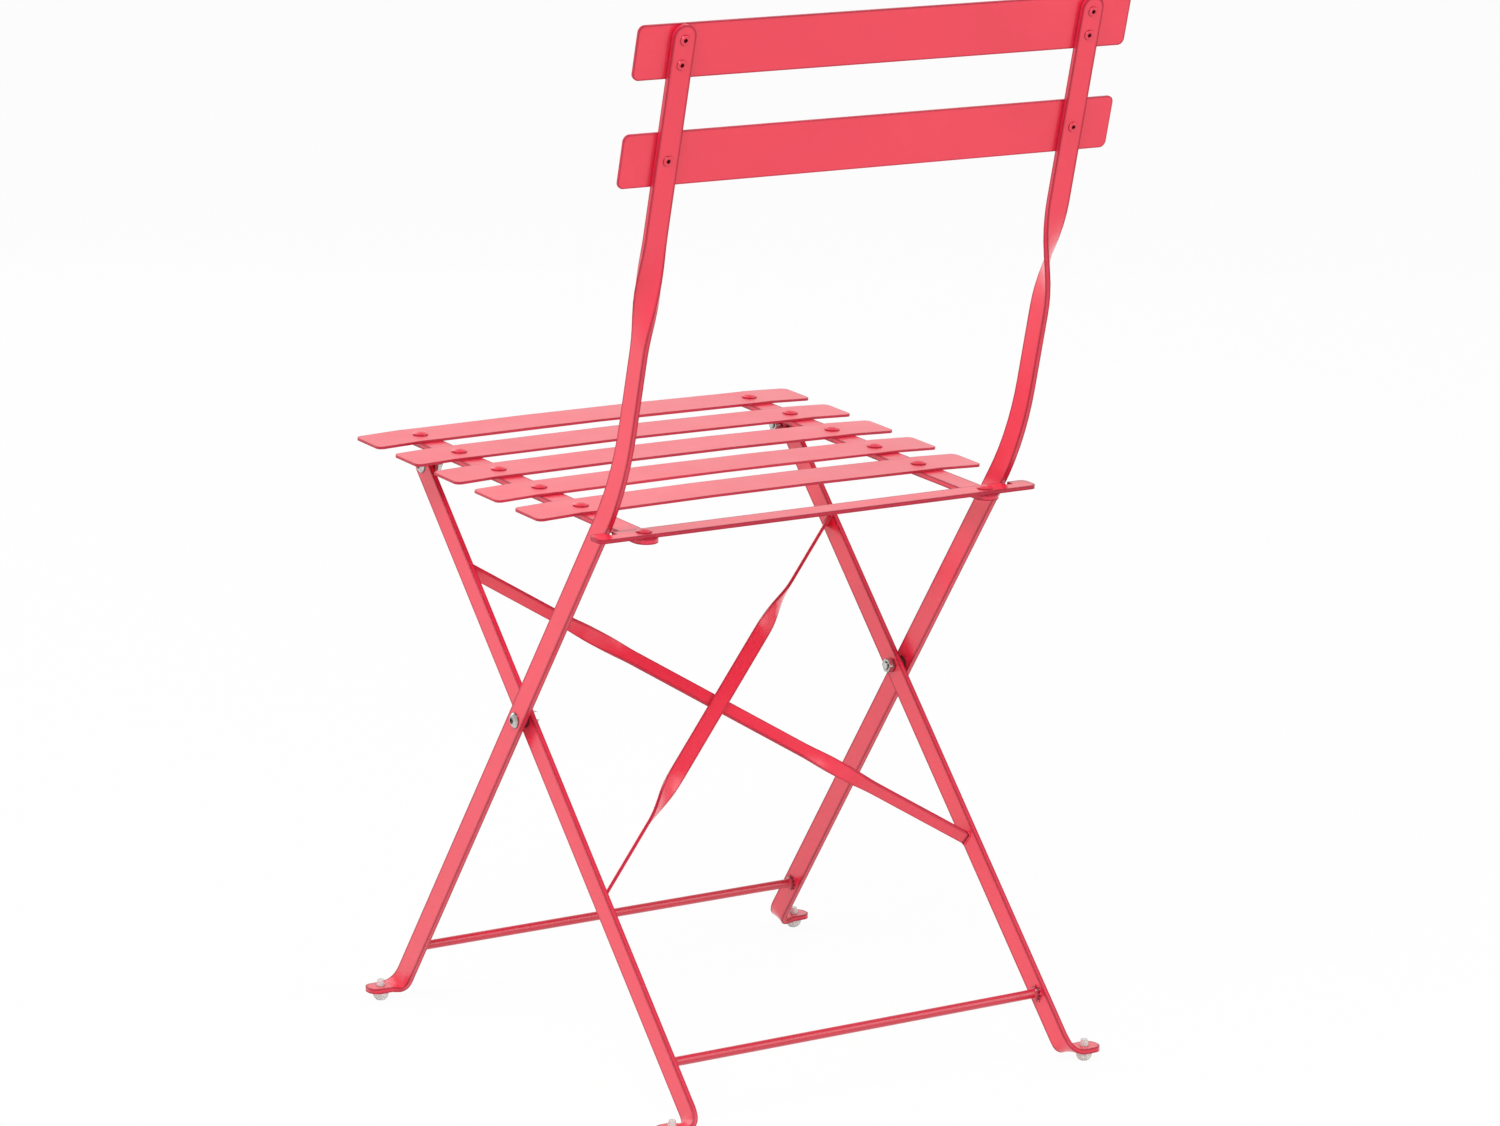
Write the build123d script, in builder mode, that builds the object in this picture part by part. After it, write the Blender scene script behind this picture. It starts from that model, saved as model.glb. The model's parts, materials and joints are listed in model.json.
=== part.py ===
"""Folding garden chair of flat steel strip: crossed legs, slatted seat, two back slats.

Millimetres. +Z is up, the chair faces -Y and the sitter's left is +X.
The origin is on the floor, under the middle of the open chair.
"""
import os
from math import atan2, cos, degrees, hypot, radians, sin, tan

from build123d import *

# Overall sizes
OVERALL_HEIGHT = 800.0
SEAT_HEIGHT = 440.0
UPRIGHT_SPACING = 348.0
FRONT_FOOT_Y = -200.5
REAR_FOOT_Y = 220.8
FRONT_SLAT_Y = -203.6

# Lean of the strips, in degrees
FRONT_LEG_LEAN = 35.0
BACK_LEAN = 13.7
SEAT_TILT = 2.97

# Flat strip of the legs and uprights
STRIP_WIDTH = 18.0
STRIP_THICKNESS = 4.0
BEND_RISE = 22.0
BEND_RADIUS = 230.0
TWIST_RISE = 121.0
TWIST_HEIGHT = 86.0
TWIST_STATIONS = 9

# Feet: the strip's end turned outwards and level, with a plastic glide
FOOT_BEND_REACH = 12.0
FOOT_STATIONS = 7
FOOT_REACH = 29.5
FOOT_CORNER = 7.5
GLIDE_REACH = 18.0
GLIDE_HEIGHT = 7.0
GLIDE_RADIUS = 5.8
GLIDE_FLAT_RADIUS = 3.5
GLIDE_STEM_RADIUS = 3.0
GLIDE_BARB_RADIUS = 3.3
GLIDE_BARB_HEIGHT = 5.0

# Stretcher rods
ROD_RADIUS = 3.5
ROD_HEIGHT = 46.0
WELD_RADIUS = 6.5
WELD_LENGTH = 3.5

# Crossed braces between the rear legs
BRACE_WIDTH = 12.5
BRACE_THICKNESS = 2.5
BRACE_TOP_DROP = 67.0
BRACE_FOOT_HEIGHT = 145.7
BRACE_END_SHARE = 0.1825
BRACE_TWIST_SHARE = 0.15
BRACE_GAP = 0.1
BRACE_SHIFT = -0.8
BRACE_TURN = 86.0

# Back slats
BACK_SLAT_OVERHANG = 36.0
BACK_SLAT_WIDTH = 40.0
BACK_SLAT_THICKNESS = 2.0
BACK_SLAT_SPACING = 79.6
BACK_SLAT_CORNER = 5.0
TOP_MARGIN = 1.0
TOP_RIVET_SPACING = 18.0

# Seat slats, rails and crossbar
SLAT_COUNT = 5
SLAT_OVERHANG = 46.5
SLAT_WIDTH = 37.0
SLAT_REAR_SPACE = 77.8
SLAT_THICKNESS = 2.0
SLAT_RISE = 1.0
SLAT_DROOP = 1.4
SLAT_CORNER = 5.0
RAIL_WIDTH = 19.5
RAIL_THICKNESS = 4.0
RAIL_FRONT = 13.0
RAIL_TAIL = 2.5
CROSSBAR_OVERHANG = 18.0
CROSSBAR_WIDTH = 17.5
CROSSBAR_THICKNESS = 3.0
CROSSBAR_CORNER = 5.0
CROSSBAR_GAP = 0.4
NOTCH_DEPTH = 7.0
NOTCH_SIDE_GAP = 0.6

# Seat hinge
HINGE_TO_SECOND_SLAT = 26.5
HINGE_DROP = 15.0
HINGE_GAP = 3.5
BRACKET_THICKNESS = 3.0
BRACKET_LENGTH = 16.0

# Bolts, nuts and rivets
BOLT_RADIUS = 3.0
BOLT_HEAD_RADIUS = 6.3
BOLT_HEAD_HEIGHT = 3.2
BOLT_SOCKET_ACROSS = 4.0
BOLT_SOCKET_DEPTH = 1.8
BOLT_TAIL = 1.2
NUT_ACROSS = 10.0
NUT_THICKNESS = 5.0
WASHER_RADIUS = 6.5
PIVOT_GAP = 4.9
SIDE_PLAY = 0.25
RIVET_RADIUS = 2.5
RIVET_HEAD_RADIUS = 6.0
RIVET_HEAD_HEIGHT = 2.3
RIVET_HEAD_SIDE = 0.9
RIVET_TAIL_RADIUS = 4.0
RIVET_TAIL_HEIGHT = 1.2
RIVET_BORE_RADIUS = 1.5
RIVET_BORE_DEPTH = 3.0
HOLE_CLEARANCE = 0.06

# Places worked out from the sizes above
LEFT, RIGHT = 1, -1
SIDES = {"left": LEFT, "right": RIGHT}
UPRIGHT_X = UPRIGHT_SPACING / 2
LEG_X = UPRIGHT_X - STRIP_THICKNESS - PIVOT_GAP
LEG_INNER_X = LEG_X - STRIP_THICKNESS / 2
RAIL_X = LEG_INNER_X - HINGE_GAP - RAIL_WIDTH / 2
TONGUE_MIDDLE = GLIDE_HEIGHT + STRIP_THICKNESS / 2
BEND_HEIGHT = SEAT_HEIGHT + BEND_RISE
TWIST_START = SEAT_HEIGHT + TWIST_RISE
BACK_SLAT_LENGTH = UPRIGHT_SPACING + 2 * BACK_SLAT_OVERHANG
SLAT_LENGTH = 2 * (RAIL_X + SLAT_OVERHANG)
CROSSBAR_LENGTH = UPRIGHT_SPACING + 2 * CROSSBAR_OVERHANG

TILT = radians(SEAT_TILT)
FRONT_SLOPE = tan(radians(FRONT_LEG_LEAN))
BACK_SLOPE = tan(radians(BACK_LEAN))
SEAT = Plane((0, FRONT_SLAT_Y, SEAT_HEIGHT), x_dir=(1, 0, 0), z_dir=(0, sin(TILT), cos(TILT)))
RAIL_TOP = -SLAT_THICKNESS
RAIL_BOTTOM = RAIL_TOP - RAIL_THICKNESS

# The crossbar's front edge lies just behind the uprights' rear edges, at the crossbar's top
CROSSBAR_TOP = CROSSBAR_THICKNESS - SLAT_THICKNESS
UPRIGHT_REAR_Y = FRONT_FOOT_Y + STRIP_WIDTH / 2 * hypot(1, FRONT_SLOPE) + CROSSBAR_GAP
CROSSBAR_FRONT = (
    UPRIGHT_REAR_Y - FRONT_SLAT_Y
    + FRONT_SLOPE * (SEAT_HEIGHT + CROSSBAR_TOP * cos(TILT)) - CROSSBAR_TOP * sin(TILT)
) / (cos(TILT) + FRONT_SLOPE * sin(TILT))
CROSSBAR_MIDDLE = CROSSBAR_FRONT + CROSSBAR_WIDTH / 2

# Slats are spaced evenly from the front one to the last one before the uprights
SLAT_PITCH = (CROSSBAR_FRONT - SLAT_REAR_SPACE) / (SLAT_COUNT - 1)
SLAT_ROWS = [SLAT_PITCH * number for number in range(SLAT_COUNT)]

# The seat hinge lies just before the second slat, and the rear legs run from it to the floor
HINGE_SETBACK = SLAT_PITCH - HINGE_TO_SECOND_SLAT
HINGE = SEAT.from_local_coords(Vector(0, HINGE_SETBACK, -HINGE_DROP))
REAR_SLOPE = (HINGE.Y - REAR_FOOT_Y) / HINGE.Z
BRACE_TOP_HEIGHT = HINGE.Z - BRACE_TOP_DROP
PIVOT_Z = (REAR_FOOT_Y - FRONT_FOOT_Y) / (FRONT_SLOPE - REAR_SLOPE)
PIVOT_Y = FRONT_FOOT_Y + FRONT_SLOPE * PIVOT_Z

BACK_UP = Vector(0, sin(radians(BACK_LEAN)), cos(radians(BACK_LEAN)))
BACK_FORWARD = Vector(0, -BACK_UP.Z, BACK_UP.Y)


def front_leg_point(height):
    """Middle of the front leg's strip at a height, in the YZ plane."""
    return Vector(0, FRONT_FOOT_Y + FRONT_SLOPE * height, height)


def rear_leg_point(height):
    """Middle of the rear leg's strip at a height, in the YZ plane."""
    return Vector(0, REAR_FOOT_Y + REAR_SLOPE * height, height)


def upright_point(height):
    """Middle of the straight upper part of an upright at a height."""
    bend = front_leg_point(BEND_HEIGHT)
    return Vector(0, bend.Y + BACK_SLOPE * (height - BEND_HEIGHT), height)


BACK = Plane(upright_point(OVERALL_HEIGHT - TOP_MARGIN), x_dir=(1, 0, 0), z_dir=BACK_FORWARD)
TOP_SLAT_AT = -BACK_SLAT_WIDTH / 2
LOWER_SLAT_AT = TOP_SLAT_AT - BACK_SLAT_SPACING
TOP_RIVETS = [TOP_SLAT_AT + TOP_RIVET_SPACING / 2, TOP_SLAT_AT - TOP_RIVET_SPACING / 2]
LOWER_RIVETS = [LOWER_SLAT_AT]


def save(builder, name):
    """Label a finished piece and write it under its name."""
    builder.part.label = name
    export_step(builder.part, f"parts/{name}.step")


def outward_plane(side, x, y, z):
    """Plane through a joint's axis: local X points out of the chair, local Y points up."""
    return Plane((side * x, y, z), x_dir=(side, 0, 0), z_dir=(0, -side, 0))


def leg_way(slope):
    """Direction up a leg that leans by a slope in Y."""
    return Vector(0, slope, 1).normalized()


def eased(share):
    """Share of a twist's turn at a share of its length: it starts and ends gently."""
    return share**2 * (3 - 2 * share)


def foot(side, x, corner, slope):
    """Bent end of a leg: the strip turns outwards and level, then ends in a tongue holed for its glide."""
    corner = corner + Vector(side * x, 0, 0)
    start = corner + leg_way(slope) * FOOT_BEND_REACH
    end = corner + Vector(side * FOOT_BEND_REACH, 0, 0)
    leg_across = Vector(0, 1, -slope).normalized()
    with BuildPart() as piece:
        for step in range(FOOT_STATIONS):
            share = step / (FOOT_STATIONS - 1)
            at = start * (1 - share) ** 2 + corner * (2 * share * (1 - share)) + end * share**2
            way = ((corner - start) * (1 - share) + (end - corner) * share).normalized()
            lean = leg_across * (1 - share) + Vector(0, 1, 0) * share
            across = lean - way * lean.dot(way)
            with BuildSketch(Plane(at, x_dir=across, z_dir=way)):
                Rectangle(STRIP_WIDTH, STRIP_THICKNESS)
        loft()
        with BuildSketch(Plane.XY.offset(GLIDE_HEIGHT)) as tongue:
            length = FOOT_REACH - FOOT_BEND_REACH
            with Locations((end.X + side * length / 2, end.Y)):
                Rectangle(length, STRIP_WIDTH)
            outer = tongue.vertices().group_by(Axis.X)[-1 if side > 0 else 0]
            fillet(outer, FOOT_CORNER)
        extrude(amount=STRIP_THICKNESS)
        with Locations((side * (x + GLIDE_REACH), corner.Y, GLIDE_HEIGHT + STRIP_THICKNESS)):
            Hole(GLIDE_STEM_RADIUS + HOLE_CLEARANCE, STRIP_THICKNESS)
    return piece.part


def make_long_bar(name, side):
    """Front leg and back upright in one strip: bent at seat height, twisted a quarter turn above it."""
    x = side * UPRIGHT_X
    shift = Vector(x, 0, 0)
    way = leg_way(FRONT_SLOPE)
    corner = front_leg_point(TONGUE_MIDDLE)
    bend = front_leg_point(BEND_HEIGHT)
    reach = BEND_RADIUS * tan(radians(FRONT_LEG_LEAN - BACK_LEAN) / 2)
    twist_top = TWIST_START + TWIST_HEIGHT
    with BuildPart() as bar:
        # Leg, bend and lower upright, with the flat side outwards
        with BuildLine() as middle:
            leg = Line(shift + corner + way * FOOT_BEND_REACH, shift + bend - way * reach)
            curve = TangentArc(leg @ 1, shift + bend + BACK_UP * reach, tangent=way)
            Line(curve @ 1, shift + upright_point(TWIST_START))
        with BuildSketch(Plane(leg @ 0, x_dir=(1, 0, 0), z_dir=way)):
            Rectangle(STRIP_THICKNESS, STRIP_WIDTH)
        sweep(path=middle.wire())
        # Quarter twist that turns the outer side to the rear
        for step in range(TWIST_STATIONS):
            share = step / (TWIST_STATIONS - 1)
            at = shift + upright_point(TWIST_START + TWIST_HEIGHT * share)
            across = -BACK_FORWARD.rotate(Axis((0, 0, 0), BACK_UP), side * 90 * eased(share))
            with BuildSketch(Plane(at, x_dir=across, z_dir=BACK_UP)):
                Rectangle(STRIP_WIDTH, STRIP_THICKNESS)
        loft()
        # Flat top with a round end
        flat_length = (OVERALL_HEIGHT - TOP_MARGIN - twist_top) / BACK_UP.Z
        with BuildSketch(BACK.offset(-STRIP_THICKNESS / 2)) as flat:
            with Locations((x, -flat_length / 2)):
                Rectangle(STRIP_WIDTH, flat_length)
            fillet(flat.vertices().group_by(Axis.Y)[-1], STRIP_WIDTH / 2 - 0.1)
        extrude(amount=STRIP_THICKNESS)
        add(foot(side, UPRIGHT_X, corner, FRONT_SLOPE))
        # Holes for the back rivets and the leg pivot
        with BuildSketch(BACK.offset(-STRIP_THICKNESS)):
            with Locations(*[(x, at) for at in TOP_RIVETS + LOWER_RIVETS]):
                Circle(RIVET_RADIUS + HOLE_CLEARANCE)
        extrude(amount=2 * STRIP_THICKNESS, mode=Mode.SUBTRACT)
        with BuildSketch(Plane.YZ.offset(x)):
            with Locations((PIVOT_Y, PIVOT_Z)):
                Circle(BOLT_RADIUS + HOLE_CLEARANCE)
        extrude(amount=STRIP_THICKNESS, both=True, mode=Mode.SUBTRACT)
    save(bar, name)


def make_rear_leg(name, side):
    """Straight strip from the seat hinge to the rear foot."""
    way = leg_way(REAR_SLOPE)
    corner = rear_leg_point(TONGUE_MIDDLE)
    length = (HINGE.Z - corner.Z) / way.Z - FOOT_BEND_REACH
    with BuildPart() as leg:
        along = Plane((side * LEG_X, HINGE.Y, HINGE.Z), x_dir=-way, z_dir=(1, 0, 0))
        with BuildSketch(along):
            with Locations((length / 2, 0)):
                Rectangle(length, STRIP_WIDTH)
            Circle(STRIP_WIDTH / 2)
            Circle(BOLT_RADIUS + HOLE_CLEARANCE, mode=Mode.SUBTRACT)
            with Locations(((HINGE.Z - PIVOT_Z) / way.Z, 0)):
                Circle(BOLT_RADIUS + HOLE_CLEARANCE, mode=Mode.SUBTRACT)
        extrude(amount=STRIP_THICKNESS / 2, both=True)
        add(foot(side, LEG_X, corner, REAR_SLOPE))
    save(leg, name)


def make_glide(name, side, x, y):
    """Push-in plastic glide: round foot, stem through the tongue and a tapered barb above it."""
    tongue_top = GLIDE_HEIGHT + STRIP_THICKNESS
    axis_at = (side * (x + GLIDE_REACH), y, 0)
    # The round side is part of a ball with its centre on the axis
    ball_z = (GLIDE_RADIUS**2 - GLIDE_FLAT_RADIUS**2 + GLIDE_HEIGHT**2) / (2 * GLIDE_HEIGHT)
    ball_radius = hypot(GLIDE_FLAT_RADIUS, ball_z)
    low = degrees(atan2(-ball_z, GLIDE_FLAT_RADIUS))
    high = degrees(atan2(GLIDE_HEIGHT - ball_z, GLIDE_RADIUS))
    with BuildPart() as glide:
        with BuildSketch(Plane(axis_at, x_dir=(1, 0, 0), z_dir=(0, -1, 0))):
            with BuildLine():
                Line((0, 0), (GLIDE_FLAT_RADIUS, 0))
                CenterArc((0, ball_z), ball_radius, low, high - low)
                Polyline(
                    (GLIDE_RADIUS, GLIDE_HEIGHT),
                    (GLIDE_STEM_RADIUS, GLIDE_HEIGHT),
                    (GLIDE_STEM_RADIUS, tongue_top),
                    (GLIDE_BARB_RADIUS, tongue_top),
                    (GLIDE_BARB_RADIUS * 0.8, tongue_top + GLIDE_BARB_HEIGHT),
                    (0, tongue_top + GLIDE_BARB_HEIGHT),
                    (0, 0),
                )
            make_face()
        revolve(axis=Axis(axis_at, (0, 0, 1)))
    save(glide, name)


def make_rod(name, half_length, y, z):
    """Round stretcher rod with a weld bead at each end."""
    with BuildPart() as rod:
        with BuildSketch(Plane((0, y, z), x_dir=(1, 0, 0), z_dir=(0, -1, 0))):
            with BuildLine():
                Polyline(
                    (-half_length, 0),
                    (-half_length, WELD_RADIUS),
                    (-half_length + WELD_LENGTH, ROD_RADIUS),
                    (half_length - WELD_LENGTH, ROD_RADIUS),
                    (half_length, WELD_RADIUS),
                    (half_length, 0),
                    close=True,
                )
            make_face()
        revolve(axis=Axis((0, y, z), (1, 0, 0)))
    save(rod, name)


def make_brace(name, top_side, face):
    """Diagonal strip between the rear legs: flat in the middle, a quarter turn near each end."""
    frame_normal = Vector(0, 1, -REAR_SLOPE).normalized()
    lift = frame_normal * (BRACE_SHIFT + face * (BRACE_THICKNESS + BRACE_GAP) / 2)
    upper = rear_leg_point(BRACE_TOP_HEIGHT) + Vector(top_side * LEG_INNER_X, 0, 0) + lift
    lower = rear_leg_point(BRACE_FOOT_HEIGHT) - Vector(top_side * LEG_INNER_X, 0, 0) + lift
    span = lower - upper
    way = span.normalized()
    twist_end = BRACE_END_SHARE + BRACE_TWIST_SHARE
    end_turn = top_side * BRACE_TURN

    def section(share, turned):
        """Plane across the strip at a share of its length, turned from flat by some degrees."""
        across = frame_normal.cross(way).rotate(Axis((0, 0, 0), way), turned)
        return Plane(upper + span * share, x_dir=across, z_dir=way)

    with BuildPart() as brace:
        # Ends stand on edge and run past the legs' inner sides, where they are trimmed
        for start, end in ((-0.05, BRACE_END_SHARE), (1 - BRACE_END_SHARE, 1.05)):
            with BuildSketch(section(start, end_turn)):
                Rectangle(BRACE_WIDTH, BRACE_THICKNESS)
            extrude(amount=span.length * (end - start))
        for start, first in ((BRACE_END_SHARE, 1), (1 - twist_end, 0)):
            for step in range(TWIST_STATIONS):
                turned = end_turn * eased(abs(first - step / (TWIST_STATIONS - 1)))
                with BuildSketch(section(start + BRACE_TWIST_SHARE * step / (TWIST_STATIONS - 1), turned)):
                    Rectangle(BRACE_WIDTH, BRACE_THICKNESS)
            loft()
        with BuildSketch(section(twist_end, 0)):
            Rectangle(BRACE_WIDTH, BRACE_THICKNESS)
        extrude(amount=span.length * (1 - 2 * twist_end))
        for side in SIDES.values():
            keep = Keep.BOTTOM if side > 0 else Keep.TOP
            split(bisect_by=Plane.YZ.offset(side * LEG_INNER_X), keep=keep)
    save(brace, name)


def make_back_slat(name, at, rivets):
    """Flat back slat on the front of the uprights, with rounded corners."""
    with BuildPart() as slat:
        with BuildSketch(BACK.offset(STRIP_THICKNESS / 2)):
            with Locations((0, at)):
                RectangleRounded(BACK_SLAT_LENGTH, BACK_SLAT_WIDTH, BACK_SLAT_CORNER)
            with Locations(*[(side * UPRIGHT_X, row) for side in SIDES.values() for row in rivets]):
                Circle(RIVET_RADIUS + HOLE_CLEARANCE, mode=Mode.SUBTRACT)
        extrude(amount=BACK_SLAT_THICKNESS)
    save(slat, name)


def dome_rivet(grip, bored=False):
    """Rivet along Z: mushroom head above zero, shank through the grip, upset tail under it."""
    tail = -grip - RIVET_TAIL_HEIGHT
    with BuildPart() as rivet:
        with BuildSketch(Plane.XZ):
            with BuildLine():
                TangentArc((0, RIVET_HEAD_HEIGHT), (RIVET_HEAD_RADIUS, RIVET_HEAD_SIDE), tangent=(1, 0))
                Polyline(
                    (RIVET_HEAD_RADIUS, RIVET_HEAD_SIDE),
                    (RIVET_HEAD_RADIUS, 0),
                    (RIVET_RADIUS, 0),
                    (RIVET_RADIUS, -grip),
                    (RIVET_TAIL_RADIUS, -grip),
                    (RIVET_TAIL_RADIUS * 0.8, tail),
                    (0, tail),
                    (0, RIVET_HEAD_HEIGHT),
                )
            make_face()
        revolve(axis=Axis.Z)
        if bored:
            with BuildSketch(Plane.XY.offset(tail)):
                Circle(RIVET_BORE_RADIUS)
            extrude(amount=RIVET_BORE_DEPTH, mode=Mode.SUBTRACT)
    return rivet.part


def make_rivets(name, plane, places, grip, bored=False):
    """Group of like rivets with their heads on a plane."""
    rivet = dome_rivet(grip, bored)
    with BuildPart(plane) as group:
        with Locations(*places):
            add(rivet)
    save(group, name)


def make_seat_slat(name, at):
    """Thin seat slat: flat on the rails, slightly arched between them, drooping past them."""
    inner = RAIL_X - RAIL_WIDTH / 2
    outer = RAIL_X + RAIL_WIDTH / 2
    end = SLAT_LENGTH / 2
    rear = SEAT.from_local_coords(Vector(0, at + SLAT_WIDTH / 2, 0))
    under = -SLAT_THICKNESS
    with BuildPart() as slat:
        with BuildSketch(Plane(rear, x_dir=(1, 0, 0), z_dir=-SEAT.y_dir)):
            with BuildLine():
                ThreePointArc((-inner, 0), (0, SLAT_RISE), (inner, 0))
                Polyline(
                    (inner, 0),
                    (outer, 0),
                    (end, -SLAT_DROOP),
                    (end, under - SLAT_DROOP),
                    (outer, under),
                    (inner, under),
                )
                ThreePointArc((inner, under), (0, under + SLAT_RISE), (-inner, under))
                Polyline(
                    (-inner, under),
                    (-outer, under),
                    (-end, under - SLAT_DROOP),
                    (-end, -SLAT_DROOP),
                    (-outer, 0),
                    (-inner, 0),
                )
            make_face()
        extrude(amount=SLAT_WIDTH)
        with BuildSketch(SEAT):
            with Locations((0, at)):
                RectangleRounded(SLAT_LENGTH, SLAT_WIDTH, SLAT_CORNER)
            with Locations((RAIL_X, at), (-RAIL_X, at)):
                Circle(RIVET_RADIUS + HOLE_CLEARANCE, mode=Mode.SUBTRACT)
        extrude(amount=SLAT_WIDTH, both=True, mode=Mode.INTERSECT)
    save(slat, name)


def make_seat_rail(name, side):
    """Flat bar under the slats, with a round tail under the crossbar."""
    tail = CROSSBAR_FRONT + CROSSBAR_WIDTH + RAIL_TAIL
    rows = SLAT_ROWS + [CROSSBAR_MIDDLE]
    with BuildPart() as rail:
        with BuildSketch(SEAT.offset(RAIL_TOP)) as outline:
            with Locations((side * RAIL_X, (tail - RAIL_FRONT) / 2)):
                Rectangle(RAIL_WIDTH, tail + RAIL_FRONT)
            fillet(outline.vertices().group_by(Axis.Y)[-1], RAIL_WIDTH / 2 - 0.1)
            with Locations(*[(side * RAIL_X, row) for row in rows]):
                Circle(RIVET_RADIUS + HOLE_CLEARANCE, mode=Mode.SUBTRACT)
        extrude(amount=-RAIL_THICKNESS)
    save(rail, name)


def make_crossbar(name):
    """Flat bar behind the uprights, notched where they lie against it."""
    with BuildPart() as bar:
        with BuildSketch(SEAT.offset(RAIL_TOP)):
            with Locations((0, CROSSBAR_MIDDLE)):
                RectangleRounded(CROSSBAR_LENGTH, CROSSBAR_WIDTH, CROSSBAR_CORNER)
            with Locations((RAIL_X, CROSSBAR_MIDDLE), (-RAIL_X, CROSSBAR_MIDDLE)):
                Circle(RIVET_RADIUS + HOLE_CLEARANCE, mode=Mode.SUBTRACT)
            with Locations((UPRIGHT_X, CROSSBAR_FRONT), (-UPRIGHT_X, CROSSBAR_FRONT)):
                Rectangle(STRIP_THICKNESS + 2 * NOTCH_SIDE_GAP, 2 * NOTCH_DEPTH, mode=Mode.SUBTRACT)
        extrude(amount=CROSSBAR_THICKNESS)
    save(bar, name)


def make_hinge_bracket(name, side):
    """Angle bracket under a rail: a flange against it and a round ear for the hinge bolt."""
    ear_out = RAIL_X + RAIL_WIDTH / 2
    flange_bottom = RAIL_BOTTOM - BRACKET_THICKNESS
    with BuildPart() as bracket:
        with BuildSketch(SEAT.offset(RAIL_BOTTOM)):
            with Locations((side * RAIL_X, HINGE_SETBACK)):
                Rectangle(RAIL_WIDTH, BRACKET_LENGTH)
        extrude(amount=-BRACKET_THICKNESS)
        ear_x = side * (ear_out - BRACKET_THICKNESS / 2)
        ear_plane = Plane((ear_x, HINGE.Y, HINGE.Z), x_dir=SEAT.y_dir, z_dir=(1, 0, 0))
        rise = HINGE_DROP + flange_bottom
        with BuildSketch(ear_plane):
            with Locations((0, rise / 2)):
                Rectangle(BRACKET_LENGTH, rise)
            Circle(BRACKET_LENGTH / 2)
            Circle(BOLT_RADIUS + HOLE_CLEARANCE, mode=Mode.SUBTRACT)
        extrude(amount=BRACKET_THICKNESS / 2, both=True)
    save(bracket, name)


def make_bolts(name, head_x, nut_x, y, z):
    """Pair of dome-headed bolts with a hexagon socket, heads outwards, that end just past their nuts."""
    length = head_x - nut_x + NUT_THICKNESS + BOLT_TAIL
    with BuildPart() as bolts:
        for side in SIDES.values():
            with BuildSketch(outward_plane(side, head_x, y, z)):
                with BuildLine():
                    TangentArc((BOLT_HEAD_HEIGHT, 0), (0, BOLT_HEAD_RADIUS), tangent=(0, 1))
                    Polyline(
                        (0, BOLT_HEAD_RADIUS),
                        (0, BOLT_RADIUS),
                        (-length, BOLT_RADIUS),
                        (-length, 0),
                        (BOLT_HEAD_HEIGHT, 0),
                    )
                make_face()
            revolve(axis=Axis((0, y, z), (1, 0, 0)))
            head_top = side * (head_x + BOLT_HEAD_HEIGHT)
            with BuildSketch(Plane((head_top, y, z), x_dir=(0, 1, 0), z_dir=(side, 0, 0))):
                RegularPolygon(BOLT_SOCKET_ACROSS / 2, 6, major_radius=False)
            extrude(amount=-BOLT_SOCKET_DEPTH, mode=Mode.SUBTRACT)
    save(bolts, name)


def make_nuts(name, nut_x, y, z):
    """Pair of hexagon nuts whose outer faces lie at a distance from the middle."""
    with BuildPart() as nuts:
        for side in SIDES.values():
            with BuildSketch(Plane((side * nut_x, y, z), x_dir=(0, 1, 0), z_dir=(-side, 0, 0))):
                RegularPolygon(NUT_ACROSS / 2, 6, major_radius=False)
                Circle(BOLT_RADIUS + HOLE_CLEARANCE, mode=Mode.SUBTRACT)
            extrude(amount=NUT_THICKNESS)
    save(nuts, name)


def make_washers(name, outer_x, thickness, y, z):
    """Pair of spacer washers whose outer faces lie at a distance from the middle."""
    with BuildPart() as washers:
        for side in SIDES.values():
            with BuildSketch(Plane((side * outer_x, y, z), x_dir=(0, 1, 0), z_dir=(-side, 0, 0))):
                Circle(WASHER_RADIUS)
                Circle(BOLT_RADIUS + HOLE_CLEARANCE, mode=Mode.SUBTRACT)
            extrude(amount=thickness)
    save(washers, name)


os.makedirs("parts", exist_ok=True)

# Back frame: long bars, back slats and front stretcher
for word, hand in SIDES.items():
    make_long_bar(f"{word}_back_upright", hand)
    make_glide(f"{word}_front_glide", hand, UPRIGHT_X, front_leg_point(TONGUE_MIDDLE).Y)
make_back_slat("top_back_slat", TOP_SLAT_AT, TOP_RIVETS)
make_back_slat("lower_back_slat", LOWER_SLAT_AT, LOWER_RIVETS)
BACK_FRONT = BACK.offset(STRIP_THICKNESS / 2 + BACK_SLAT_THICKNESS)
BACK_GRIP = STRIP_THICKNESS + BACK_SLAT_THICKNESS
for label, rivet_rows in (("top_back_rivets", TOP_RIVETS), ("lower_back_rivets", LOWER_RIVETS)):
    spots = [(hand * UPRIGHT_X, row) for hand in SIDES.values() for row in rivet_rows]
    make_rivets(label, BACK_FRONT, spots, BACK_GRIP, bored=True)
make_rod("front_stretcher_rod", UPRIGHT_X - STRIP_THICKNESS / 2, front_leg_point(ROD_HEIGHT).Y, ROD_HEIGHT)

# Leg pivots, held in the back frame
PIVOT_NUT_X = LEG_INNER_X - SIDE_PLAY
make_bolts("pivot_bolts", UPRIGHT_X + STRIP_THICKNESS / 2, PIVOT_NUT_X, PIVOT_Y, PIVOT_Z)
make_nuts("pivot_nuts", PIVOT_NUT_X, PIVOT_Y, PIVOT_Z)
make_washers("pivot_spacers", UPRIGHT_X - STRIP_THICKNESS / 2, PIVOT_GAP - SIDE_PLAY, PIVOT_Y, PIVOT_Z)

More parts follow.
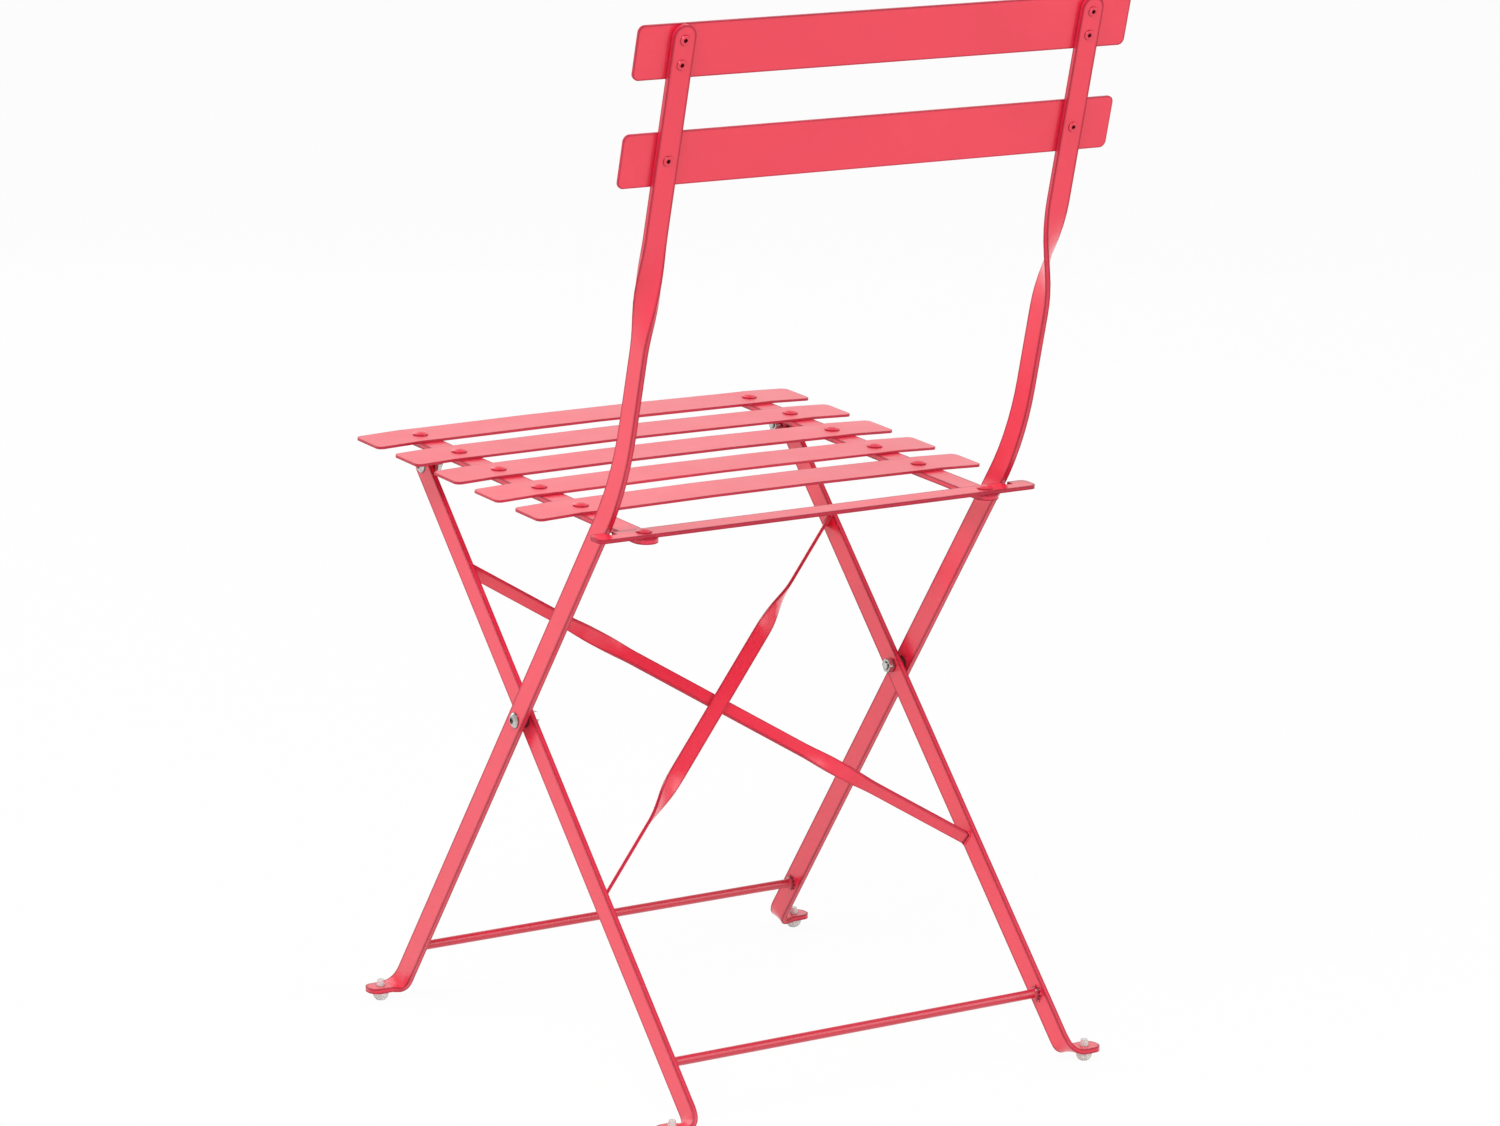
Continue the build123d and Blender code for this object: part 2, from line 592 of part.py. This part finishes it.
# Rear legs with their stretcher and braces
for word, hand in SIDES.items():
    make_rear_leg(f"{word}_rear_leg", hand)
    make_glide(f"{word}_rear_glide", hand, LEG_X, rear_leg_point(TONGUE_MIDDLE).Y)
make_rod("rear_stretcher_rod", LEG_INNER_X, rear_leg_point(ROD_HEIGHT).Y, ROD_HEIGHT)
make_brace("front_cross_brace", LEFT, -1)
make_brace("rear_cross_brace", RIGHT, 1)

# Seat hinges, held in the rear legs
BRACKET_INNER_X = LEG_INNER_X - HINGE_GAP - BRACKET_THICKNESS
HINGE_NUT_X = BRACKET_INNER_X - SIDE_PLAY
make_bolts("hinge_bolts", LEG_X + STRIP_THICKNESS / 2, HINGE_NUT_X, HINGE.Y, HINGE.Z)
make_nuts("hinge_nuts", HINGE_NUT_X, HINGE.Y, HINGE.Z)
make_washers("hinge_washers", LEG_INNER_X, HINGE_GAP - SIDE_PLAY, HINGE.Y, HINGE.Z)

# Seat
for word, hand in SIDES.items():
    make_seat_rail(f"{word}_seat_rail", hand)
    make_hinge_bracket(f"{word}_hinge_bracket", hand)
for number, row in enumerate(SLAT_ROWS, 1):
    make_seat_slat(f"seat_slat_{number}", row)
make_crossbar("rear_crossbar")
SLAT_SPOTS = [(hand * RAIL_X, row) for row in SLAT_ROWS for hand in SIDES.values()]
make_rivets("slat_rivets", SEAT, SLAT_SPOTS, SLAT_THICKNESS + RAIL_THICKNESS)
CROSSBAR_SPOTS = [(hand * RAIL_X, CROSSBAR_MIDDLE) for hand in SIDES.values()]
CROSSBAR_GRIP = CROSSBAR_THICKNESS + RAIL_THICKNESS
make_rivets("crossbar_rivets", SEAT.offset(CROSSBAR_TOP), CROSSBAR_SPOTS, CROSSBAR_GRIP)

print("leg pivot", round(PIVOT_Y, 3), round(PIVOT_Z, 3))
print("seat hinge", round(HINGE.Y, 3), round(HINGE.Z, 3))
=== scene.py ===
"""Looks of the folding chair: satin coral powder coat, bright zinc bolts, milky glides, soft studio light."""
import json
import math

import bmesh
import bpy
from mathutils import Matrix, Vector, noise


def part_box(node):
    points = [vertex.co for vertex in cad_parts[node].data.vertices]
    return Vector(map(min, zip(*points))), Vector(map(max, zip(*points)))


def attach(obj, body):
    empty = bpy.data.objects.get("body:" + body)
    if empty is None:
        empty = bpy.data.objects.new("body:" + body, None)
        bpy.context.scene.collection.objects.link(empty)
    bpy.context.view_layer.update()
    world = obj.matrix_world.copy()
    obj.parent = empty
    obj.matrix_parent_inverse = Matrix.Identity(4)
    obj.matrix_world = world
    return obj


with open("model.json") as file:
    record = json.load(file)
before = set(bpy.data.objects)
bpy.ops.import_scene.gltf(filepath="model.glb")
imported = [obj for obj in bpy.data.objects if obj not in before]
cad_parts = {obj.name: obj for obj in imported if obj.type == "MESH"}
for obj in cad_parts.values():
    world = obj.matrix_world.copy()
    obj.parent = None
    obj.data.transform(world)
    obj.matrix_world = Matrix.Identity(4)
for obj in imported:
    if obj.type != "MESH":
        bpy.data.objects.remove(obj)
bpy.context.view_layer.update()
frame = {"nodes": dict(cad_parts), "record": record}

# Camera, from the photograph's viewing angle
PHOTO_WIDTH = 1500
FOCAL_PIXELS = 5441.7
SENSOR_MM = 36.0
CAMERA_AT = Vector((2.1763, 3.3347, 1.2541))
CAMERA_FORWARD = Vector((-0.53644, -0.81512, -0.21866)).normalized()
CAMERA_ROLL = math.radians(0.6026)

# Linear colours
CORAL = (0.83, 0.021, 0.060)
CORAL_DEEP = (0.78, 0.017, 0.052)
# Rivet heads wear the slat paint; this darker copy is painted shade
SHADED_RIVET_CORAL = (0.70, 0.018, 0.050)
# The rods wear the same paint as the strips; these darker copies are painted shade
SHADED_ROD_CORAL = (0.60, 0.015, 0.043)
SHADED_ROD_CORAL_DEEP = (0.55, 0.013, 0.038)
# Painted shade for edges, narrow faces and recesses
PAINTED_SHADE_CORAL = (0.16, 0.004, 0.020)
ZINC = (0.62, 0.61, 0.59)
ZINC_DARK = (0.42, 0.41, 0.39)
PAINTED_SHADE_ZINC = (0.07, 0.06, 0.06)
# Dark steel for spacers and washers, darker still as painted shade for the gap between leg and upright
DARK_ZINC_AND_SHADE = (0.16, 0.10, 0.10)
DARK_ZINC_AND_SHADE_DARK = (0.10, 0.06, 0.06)
MILKY = (0.82, 0.84, 0.83)
MILKY_WARM = (0.86, 0.85, 0.80)
FLOOR_GREY = (0.86, 0.86, 0.86)
WHITE = (1.0, 1.0, 1.0)

# How deep the edge mask, which paints shade onto narrow faces and along edges, looks into the
# metal, metres; less than each strip's thickness, so that flat faces keep their tone
STRIP_DEPTH = 0.0028
SLAT_DEPTH = 0.0018
BRACE_DEPTH = 0.0023
ROD_DEPTH = 0.0030
SMALL_DEPTH = 0.0006
ZINC_DEPTH = 0.0009

# How far the recess mask, which paints shade in sockets and at joins, looks outwards, metres
RIVET_REACH = 0.0030
ZINC_REACH = 0.0035

# Open share of the surroundings where each mask is full and where it ends
EDGE_OPEN = (0.45, 0.92)
RECESS_OPEN = (0.45, 0.80)
MASK_SAMPLES = 12

# Rounding of edges, metres and radians
STRIP_EDGE = 0.0012
SLAT_EDGE = 0.00055
HARDWARE_EDGE = 0.00035
SMALL_EDGE = HARDWARE_EDGE * 0.6
EDGE_SEGMENTS = 3
EDGE_ANGLE = math.radians(35.0)
FLAT_ANGLE = math.radians(0.5)
JOIN_DISTANCE = 0.000005

# Weld beads, metres; the profiles are in bead legs: along the piece, away from its surface
BEAD_STEPS = 44
BEAD_SINK = 0.0001
ROD_RADIUS = 0.0035
ROD_BEAD_LEG = 0.0034
ROD_BEAD = [(0.0, 1.0), (0.18, 0.72), (0.42, 0.42), (0.72, 0.2), (1.0, 0.0)]
ROD_BEAD_OVERLAP = 0.0002
ROD_BEAD_ROOT = 0.0006
ROD_RIPPLE = 0.16
ROD_RIPPLE_COUNT = 11
ROD_LUMP = 0.25
ROD_LUMP_SCALE = 3.0
ROD_END_SHIFT = 90
BRACE_BEAD_LEG = 0.0011
BRACE_BEAD = [
    (-0.05, 1.0), (0.2, 0.74), (0.45, 0.42), (0.75, 0.18), (1.0, -0.05), (-0.05, -0.2),
]
BRACE_RIPPLE = 0.14
BRACE_RIPPLE_STEP = 1.9
BRACE_LUMP = 0.22
BRACE_LUMP_SCALE = 700.0
END_TOLERANCE = 0.00005
END_DIGITS = 5

# Studio ceiling: sine of the elevation where it starts and where it is darkest, and its light
CEILING_START = 0.30
CEILING_END = 0.90
CEILING_LIGHT = 0.45
WALL_LIGHT = 1.0

FLOOR_SIZE = 60.0
FLOOR_GLOW_SHARE = 0.95

# Lamps: name, place, aim, size in metres, power in watts
LAMPS = (
    ("key", (1.6, 0.8, 2.8), (0, 0, 0.5), 1.5, 58),
    ("fill", (-2.2, 2.6, 1.8), (0, 0, 0.4), 2.4, 39),
    ("front", (0.3, -2.8, 1.9), (0, 0, 0.45), 2.4, 22),
    ("far_side", (-1.7, -2.5, 1.4), (0, 0, 0.45), 3.0, 4),
)


class Nodes:
    """Short way to write a material's node tree."""

    def __init__(self, name):
        self.material = bpy.data.materials.new(name)
        self.material.use_nodes = True
        self.tree = self.material.node_tree
        self.tree.nodes.clear()
        self.shader = self.add("ShaderNodeBsdfPrincipled")
        output = self.add("ShaderNodeOutputMaterial")
        self.link(self.shader.outputs["BSDF"], output.inputs["Surface"])
        self.coords = self.add("ShaderNodeTexCoord").outputs["Object"]

    def add(self, kind, **settings):
        item = self.tree.nodes.new(kind)
        for key, value in settings.items():
            setattr(item, key, value)
        return item

    def link(self, source, target):
        self.tree.links.new(source, target)

    def feed(self, source, name):
        """Link a socket to one of the shader's inputs."""
        self.link(source, self.shader.inputs[name])

    def noise(self, scale, detail, stretch=None):
        """Noise in object space; scale is in features per metre."""
        source = self.coords
        if stretch:
            mapping = self.add("ShaderNodeMapping")
            mapping.inputs["Scale"].default_value = stretch
            self.link(source, mapping.inputs["Vector"])
            source = mapping.outputs["Vector"]
        item = self.add("ShaderNodeTexNoise")
        item.inputs["Scale"].default_value = scale
        item.inputs["Detail"].default_value = detail
        self.link(source, item.inputs["Vector"])
        return item.outputs["Fac"]

    def span(self, value, low, high, start=0.3, end=0.7):
        """Spread a value over a range; start and end fit a noise."""
        item = self.add("ShaderNodeMapRange")
        item.inputs["From Min"].default_value = start
        item.inputs["From Max"].default_value = end
        item.inputs["To Min"].default_value = low
        item.inputs["To Max"].default_value = high
        self.link(value, item.inputs["Value"])
        return item.outputs["Result"]

    def blend(self, factor, first, second):
        """Mix two colours; each is a colour or a socket."""
        item = self.add("ShaderNodeMix", data_type="RGBA")
        self.link(factor, item.inputs["Factor"])
        for socket, value in ((item.inputs[6], first), (item.inputs[7], second)):
            if isinstance(value, tuple):
                socket.default_value = (*value, 1.0)
            else:
                self.link(value, socket)
        return item.outputs[2]

    def bump(self, height, strength, distance, under=None):
        item = self.add("ShaderNodeBump")
        item.inputs["Strength"].default_value = strength
        item.inputs["Distance"].default_value = distance
        self.link(height, item.inputs["Height"])
        if under:
            self.link(under, item.inputs["Normal"])
        return item.outputs["Normal"]

    def edges(self, depth):
        """Mask for painted shade, high on narrow faces and along edges, where another side lies close
        beneath.
        """
        inside = self.add(
            "ShaderNodeAmbientOcclusion", inside=True, only_local=True, samples=MASK_SAMPLES
        )
        inside.inputs["Distance"].default_value = depth
        return self.span(inside.outputs["AO"], 1.0, 0.0, *EDGE_OPEN)

    def recesses(self, reach):
        """Mask for painted shade, high in sockets and where the piece meets its neighbours."""
        outside = self.add("ShaderNodeAmbientOcclusion", samples=MASK_SAMPLES)
        outside.inputs["Distance"].default_value = reach
        return self.span(outside.outputs["AO"], 1.0, 0.0, *RECESS_OPEN)


def powder_coat(name, base, deep, edge, depth, reach=None):
    """Satin powder coat: fine orange peel, slight cloudiness, painted shade along edges and in recesses."""
    n = Nodes(name)
    cloud = n.span(n.noise(scale=11.0, detail=3.0), low=0.0, high=1.0)
    colour = n.blend(cloud, base, deep)
    edge_mask = n.edges(depth)
    # Painted shade along edges and on narrow faces, broken a little by noise
    painted_edge_shade = n.add("ShaderNodeMath", operation="MULTIPLY")
    n.link(edge_mask, painted_edge_shade.inputs[0])
    n.link(n.span(n.noise(scale=70.0, detail=3.0), low=0.8, high=1.0), painted_edge_shade.inputs[1])
    colour = n.blend(painted_edge_shade.outputs["Value"], colour, edge)
    # Painted shade under the heads and where the piece meets its neighbours
    if reach:
        colour = n.blend(n.recesses(reach), colour, edge)
    n.feed(colour, "Base Color")
    n.feed(n.span(n.noise(scale=38.0, detail=1.0), low=0.29, high=0.34), "Roughness")
    peel = n.bump(n.noise(scale=420.0, detail=1.0), strength=0.05, distance=0.0002)
    ripple = n.bump(n.noise(scale=95.0, detail=2.0), strength=0.04, distance=0.0006, under=peel)
    n.feed(ripple, "Normal")
    # The edge mask also thins the coat and the specular on edges so that they read darker: painted shade
    n.feed(n.span(edge_mask, low=0.55, high=0.05, start=0.0, end=1.0), "Coat Weight")
    n.feed(n.span(edge_mask, low=0.5, high=0.12, start=0.0, end=1.0), "Specular IOR Level")
    n.shader.inputs["IOR"].default_value = 1.5
    n.shader.inputs["Coat Roughness"].default_value = 0.28
    return n.material


def zinc_plate(name, bright, dark, smooth, rough):
    """Zinc plate with faint turning marks, handling dullness, and painted shade on rims and in sockets."""
    n = Nodes(name)
    dull = n.span(n.noise(scale=260.0, detail=4.0), low=0.0, high=1.0)
    # Painted shade in sockets, at joins and along rims
    colour = n.blend(n.recesses(ZINC_REACH), n.blend(dull, bright, dark), PAINTED_SHADE_ZINC)
    colour = n.blend(n.edges(ZINC_DEPTH), colour, PAINTED_SHADE_ZINC)
    n.feed(colour, "Base Color")
    n.feed(n.span(n.noise(scale=480.0, detail=3.0), smooth, rough), "Roughness")
    marks = n.noise(scale=900.0, detail=2.0, stretch=(6.0, 1.0, 1.0))
    n.feed(n.bump(marks, strength=0.12, distance=0.0002), "Normal")
    n.shader.inputs["Metallic"].default_value = 1.0
    return n.material


def milky_plastic(name):
    """Milky moulded plastic that lets some light through."""
    n = Nodes(name)
    haze = n.span(n.noise(scale=190.0, detail=3.0), low=0.0, high=1.0)
    n.feed(n.blend(haze, MILKY, MILKY_WARM), "Base Color")
    n.feed(n.span(n.noise(scale=520.0, detail=2.0), low=0.22, high=0.38), "Roughness")
    n.feed(n.bump(n.noise(scale=640.0, detail=2.0), strength=0.1, distance=0.0002), "Normal")
    n.shader.inputs["Transmission Weight"].default_value = 0.35
    n.shader.inputs["Subsurface Weight"].default_value = 0.15
    n.shader.inputs["Subsurface Scale"].default_value = 0.003
    n.shader.inputs["IOR"].default_value = 1.49
    return n.material


def round_edges(obj, width):
    """Close the imported faces into one skin and round its sharp edges."""
    weld = obj.modifiers.new("weld", "WELD")
    weld.merge_threshold = JOIN_DISTANCE
    flat = obj.modifiers.new("flat_faces", "DECIMATE")
    flat.decimate_type = "DISSOLVE"
    flat.angle_limit = FLAT_ANGLE
    bevel = obj.modifiers.new("round_edges", "BEVEL")
    bevel.width = width
    bevel.segments = EDGE_SEGMENTS
    bevel.limit_method = "ANGLE"
    bevel.angle_limit = EDGE_ANGLE
    bevel.use_clamp_overlap = True
    normals = obj.modifiers.new("normals", "WEIGHTED_NORMAL")
    normals.keep_sharp = False


def set_material(obj, material):
    obj.data.materials.clear()
    obj.data.materials.append(material)


def new_piece(name, bm, material, body):
    """Make an object from a bmesh, smooth it and let it ride on a body."""
    mesh = bpy.data.meshes.new(name)
    bmesh.ops.recalc_face_normals(bm, faces=bm.faces)
    for face in bm.faces:
        face.smooth = True
    bm.to_mesh(mesh)
    bm.free()
    obj = bpy.data.objects.new(name, mesh)
    bpy.context.scene.collection.objects.link(obj)
    mesh.materials.append(material)
    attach(obj, body)


def join_rings(bm, rings):
    """Close a loop of equal rings of vertices into a skin."""
    for step, first in enumerate(rings):
        second = rings[(step + 1) % len(rings)]
        for k in range(len(first)):
            after = (k + 1) % len(first)
            bm.faces.new((first[k], first[after], second[after], second[k]))


def end_outline(obj, face_x):
    """Points around a strip's end in a plane of constant x, evenly spread along its outline."""
    spots = {}
    for vertex in obj.data.vertices:
        at = obj.matrix_world @ vertex.co
        if abs(at.x - face_x) < END_TOLERANCE:
            spots[(round(at.y, END_DIGITS), round(at.z, END_DIGITS))] = at
    corners = list(spots.values())
    centre = sum(corners, Vector()) / len(corners)
    corners.sort(key=lambda at: math.atan2(at.z - centre.z, at.y - centre.y))
    sides = [(corners[k - 1], corners[k]) for k in range(len(corners))]
    whole = sum((b - a).length for a, b in sides)
    points = []
    for step in range(BEAD_STEPS):
        left = whole * step / BEAD_STEPS
        for a, b in sides:
            length = (b - a).length
            if left <= length:
                points.append(a.lerp(b, left / length))
                break
            left -= length
    return centre, points


def strip_weld(bm, obj, face_x, inward):
    """Lumpy bead around the end of a strip that butts against the side of a leg."""
    centre, points = end_outline(obj, face_x)
    push = Vector((inward, 0.0, 0.0))
    rings = []
    for step, point in enumerate(points):
        before, after = points[step - 1], points[(step + 1) % len(points)]
        run = (after - before).normalized()
        out = Vector((0.0, run.z, -run.y))
        if out.dot(point - centre) < 0:
            out = -out
        ripple = BRACE_RIPPLE * math.sin(BRACE_RIPPLE_STEP * step)
        lump = BRACE_LUMP * noise.noise(point * BRACE_LUMP_SCALE)
        size = BRACE_BEAD_LEG * (1.0 + ripple + lump)
        rings.append([
            bm.verts.new(point + push * size * along + out * size * rise)
            for along, rise in BRACE_BEAD
        ])
    join_rings(bm, rings)


def rod_weld(bm, face_x, inward, centre):
    """Lumpy ring of weld where a rod meets the side of a strip."""
    shift = Vector((face_x * ROD_END_SHIFT, 0, 0))
    rings = []
    for step in range(BEAD_STEPS):
        turn = 2 * math.pi * step / BEAD_STEPS
        out = Vector((0.0, math.cos(turn), math.sin(turn)))
        ripple = ROD_RIPPLE * math.sin(ROD_RIPPLE_COUNT * turn)
        lump = ROD_LUMP * noise.noise(out * ROD_LUMP_SCALE + shift)
        size = ROD_BEAD_LEG * (1.0 + ripple + lump)
        ring = []
        for along, rise in ROD_BEAD:
            radius = ROD_RADIUS - ROD_BEAD_OVERLAP + size * rise
            x = face_x + inward * (size * along - BEAD_SINK)
            ring.append(bm.verts.new(Vector((x, centre[1], centre[2])) + out * radius))
        root = Vector((face_x - inward * BEAD_SINK, centre[1], centre[2]))
        ring.append(bm.verts.new(root + out * (ROD_RADIUS - ROD_BEAD_ROOT)))
        rings.append(ring)
    join_rings(bm, rings)


strip_paint = powder_coat("coral_strip_coat", CORAL, CORAL_DEEP, PAINTED_SHADE_CORAL, STRIP_DEPTH)
slat_paint = powder_coat("coral_sheet_coat", CORAL, CORAL_DEEP, PAINTED_SHADE_CORAL, SLAT_DEPTH)
brace_paint = powder_coat("coral_brace_coat", CORAL, CORAL_DEEP, PAINTED_SHADE_CORAL, BRACE_DEPTH)
rod_paint = powder_coat("coral_rod_coat", SHADED_ROD_CORAL, SHADED_ROD_CORAL_DEEP, PAINTED_SHADE_CORAL, ROD_DEPTH)
# Welds: their painted edge shade goes only as far as the deeper coral
weld_paint = powder_coat("coral_weld_coat", CORAL, CORAL_DEEP, CORAL_DEEP, SMALL_DEPTH)
rivet_paint = powder_coat(
    "coral_rivet_coat", SHADED_RIVET_CORAL, CORAL_DEEP, PAINTED_SHADE_CORAL, SMALL_DEPTH, RIVET_REACH
)
zinc = zinc_plate("bright_zinc", ZINC, ZINC_DARK, smooth=0.10, rough=0.20)
dark_zinc_and_gap_shade = zinc_plate("dark_zinc_and_gap_shade", DARK_ZINC_AND_SHADE, DARK_ZINC_AND_SHADE_DARK, smooth=0.40, rough=0.55)
plastic = milky_plastic("milky_glide_plastic")

# Finish and edge of a node: by words in its name where one fits, else by its material slot
SLOT_FINISH = {
    "red_powder_coat": (strip_paint, STRIP_EDGE),
    "rivet_paint": (rivet_paint, SMALL_EDGE),
    "zinc_hardware": (zinc, HARDWARE_EDGE),
    "glide_plastic": (plastic, SMALL_EDGE),
}
NAMED_FINISH = {
    "red_powder_coat": (
        ("brace", brace_paint, SLAT_EDGE),
        ("slat", slat_paint, SLAT_EDGE),
        ("crossbar", strip_paint, SLAT_EDGE),
        ("bracket", strip_paint, SLAT_EDGE),
        ("rod", rod_paint, STRIP_EDGE),
    ),
    "zinc_hardware": (
        # Spacers and washers: dark steel, partly painted shade for the gap they sit in
        ("pivot_spacers", dark_zinc_and_gap_shade, HARDWARE_EDGE),
        ("hinge_washers", dark_zinc_and_gap_shade, HARDWARE_EDGE),
    ),
}

for part in frame["record"]["subparts"]:
    node_name, slot_name = part["node"], part["material_slot"]
    finish, edge_width = SLOT_FINISH[slot_name]
    for word, named_finish, named_edge in NAMED_FINISH.get(slot_name, ()):
        if word in node_name:
            finish, edge_width = named_finish, named_edge
            break
    node = frame["nodes"][node_name]
    set_material(node, finish)
    round_edges(node, edge_width)

# Weld rings at both ends of the stretcher rods
for rod, body in (("front_stretcher_rod", "back_frame"), ("rear_stretcher_rod", "rear_legs")):
    low, high = (Vector(corner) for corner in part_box(rod))
    middle = (low + high) / 2
    bm = bmesh.new()
    rod_weld(bm, high.x, -1, middle)
    rod_weld(bm, low.x, 1, middle)
    new_piece(rod + "_welds", bm, weld_paint, body)

# Weld beads at both ends of the crossed braces
for brace in ("front_cross_brace", "rear_cross_brace"):
    low, high = (Vector(corner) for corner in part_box(brace))
    bm = bmesh.new()
    strip_weld(bm, frame["nodes"][brace], high.x, -1)
    strip_weld(bm, frame["nodes"][brace], low.x, 1)
    new_piece(brace + "_welds", bm, weld_paint, "rear_legs")


def seen_ray(tree):
    """1 for rays from the camera, from gloss or through glass."""
    path = tree.nodes.new("ShaderNodeLightPath")
    first = tree.nodes.new("ShaderNodeMath")
    first.operation = "MAXIMUM"
    second = tree.nodes.new("ShaderNodeMath")
    second.operation = "MAXIMUM"
    tree.links.new(path.outputs["Is Camera Ray"], first.inputs[0])
    tree.links.new(path.outputs["Is Glossy Ray"], first.inputs[1])
    tree.links.new(first.outputs[0], second.inputs[0])
    tree.links.new(path.outputs["Is Transmission Ray"], second.inputs[1])
    return second.outputs[0]


def add_floor():
    """Pale floor that stays near white in the picture and keeps the chair's shadow."""
    bpy.ops.mesh.primitive_plane_add(size=FLOOR_SIZE)
    floor = bpy.context.object
    floor.name = "floor"
    material = bpy.data.materials.new("pale_floor")
    material.use_nodes = True
    tree = material.node_tree
    tree.nodes.clear()
    output = tree.nodes.new("ShaderNodeOutputMaterial")
    diffuse = tree.nodes.new("ShaderNodeBsdfDiffuse")
    diffuse.inputs["Color"].default_value = (*FLOOR_GREY, 1.0)
    glow = tree.nodes.new("ShaderNodeEmission")
    glow.inputs["Color"].default_value = (*WHITE, 1.0)
    glow.inputs["Strength"].default_value = 1.0
    share = tree.nodes.new("ShaderNodeMath")
    share.operation = "MULTIPLY"
    share.inputs[1].default_value = FLOOR_GLOW_SHARE
    mix = tree.nodes.new("ShaderNodeMixShader")
    tree.links.new(seen_ray(tree), share.inputs[0])
    tree.links.new(share.outputs[0], mix.inputs[0])
    tree.links.new(diffuse.outputs[0], mix.inputs[1])
    tree.links.new(glow.outputs[0], mix.inputs[2])
    tree.links.new(mix.outputs[0], output.inputs["Surface"])
    floor.data.materials.append(material)


def add_world():
    """White walls under a darker ceiling, as in a studio lit from the sides."""
    world = bpy.data.worlds.new("studio")
    world.use_nodes = True
    bpy.context.scene.world = world
    tree = world.node_tree
    tree.nodes.clear()
    output = tree.nodes.new("ShaderNodeOutputWorld")
    back = tree.nodes.new("ShaderNodeBackground")
    way = tree.nodes.new("ShaderNodeTexCoord")
    parts = tree.nodes.new("ShaderNodeSeparateXYZ")
    ceiling = tree.nodes.new("ShaderNodeMapRange")
    ceiling.inputs["From Min"].default_value = CEILING_START
    ceiling.inputs["From Max"].default_value = CEILING_END
    ceiling.inputs["To Min"].default_value = WALL_LIGHT
    ceiling.inputs["To Max"].default_value = CEILING_LIGHT
    tree.links.new(way.outputs["Generated"], parts.inputs["Vector"])
    tree.links.new(parts.outputs["Z"], ceiling.inputs["Value"])
    tree.links.new(ceiling.outputs["Result"], back.inputs["Strength"])
    tree.links.new(back.outputs[0], output.inputs["Surface"])


def add_lamp(name, at, target, size, power):
    """Square area lamp that faces its target."""
    data = bpy.data.lights.new(name, "AREA")
    data.shape = "SQUARE"
    data.size = size
    data.energy = power
    lamp = bpy.data.objects.new(name, data)
    lamp.location = at
    lamp.rotation_euler = (Vector(target) - Vector(at)).to_track_quat("-Z", "Y").to_euler()
    bpy.context.scene.collection.objects.link(lamp)


def add_camera():
    """Camera at the photograph's place, turned by its small roll."""
    data = bpy.data.cameras.new("camera")
    data.sensor_width = SENSOR_MM
    data.lens = FOCAL_PIXELS / PHOTO_WIDTH * SENSOR_MM
    camera = bpy.data.objects.new("camera", data)
    right = CAMERA_FORWARD.cross(Vector((0, 0, 1))).normalized()
    up = right.cross(CAMERA_FORWARD)
    right = right * math.cos(CAMERA_ROLL) + up * math.sin(CAMERA_ROLL)
    up = right.cross(CAMERA_FORWARD)
    turn = Matrix((right, up, -CAMERA_FORWARD)).transposed()
    camera.matrix_world = Matrix.Translation(CAMERA_AT) @ turn.to_4x4()
    bpy.context.scene.collection.objects.link(camera)
    bpy.context.scene.camera = camera


add_floor()
add_world()
for lamp_settings in LAMPS:
    add_lamp(*lamp_settings)
add_camera()
bpy.context.scene.view_settings.view_transform = "Standard"
